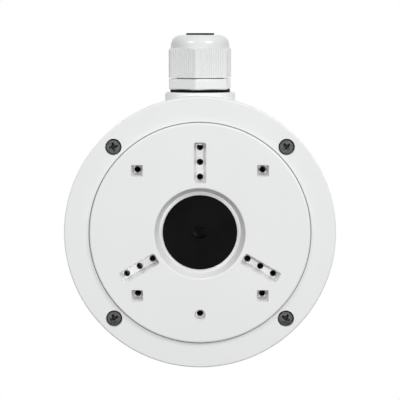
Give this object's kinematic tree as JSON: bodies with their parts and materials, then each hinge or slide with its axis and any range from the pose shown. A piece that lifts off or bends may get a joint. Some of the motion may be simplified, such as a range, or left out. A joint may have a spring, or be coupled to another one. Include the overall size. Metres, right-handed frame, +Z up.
{
  "type": "camera junction box",
  "caption": "round cast junction box for a wall camera, with a raised drilled mounting face, a rubber cable grommet in the middle and a cable gland on top",
  "frame": {"origin": "centre of the round back face, on the wall plane", "axes": "+Z up towards the cable gland, +X to the right seen from the front, +Y into the wall; the camera is mounted on the -Y side"},
  "size_m": [0.1366, 0.0535, 0.1683],
  "materials": {
    "white_casting": "satin white powder coat on an aluminium casting",
    "gland_nylon": "moulded light nylon, semi gloss",
    "claw_nylon": "plain moulded nylon",
    "black_rubber": "smooth moulded rubber",
    "cover_screw_steel": "plated steel, cross recessed",
    "earth_steel": "zinc plated steel"
  },
  "bodies": {
    "housing": {"base_housing": "white_casting", "front_cover": "white_casting", "cover_seal": "black_rubber", "centre_grommet": "black_rubber", "rear_hole_plug": "black_rubber", "cover_screw_1": "cover_screw_steel", "cover_screw_2": "cover_screw_steel", "cover_screw_3": "cover_screw_steel", "cover_screw_4": "cover_screw_steel", "screw_retainer_1": "black_rubber", "screw_retainer_2": "black_rubber", "screw_retainer_3": "black_rubber", "screw_retainer_4": "black_rubber", "earth_screw": "earth_steel", "earth_washer": "earth_steel", "gland_body": "gland_nylon", "gland_gasket": "black_rubber"},
    "gland_clamp": {"gland_claw": "claw_nylon", "gland_seal_insert": "black_rubber"},
    "gland_cap": {"gland_cap_nut": "gland_nylon"}
  },
  "joints": [
    {"name": "gland_clamp_lift", "type": "slide", "parent": "housing", "child": "gland_clamp", "axis": [0, 0, 1], "range_m": [-0.0005, 0.0032]},
    {"name": "gland_cap_turn", "type": "hinge", "parent": "gland_clamp", "child": "gland_cap", "pos_m": [0, -0.019, 0.088], "axis": [0, 0, 1], "range_deg": [-100, 720]}
  ],
  "couplings": [
    {"joint": "gland_clamp_lift", "follows": "gland_cap_turn", "m_per_rad": 0.00023873}
  ]
}
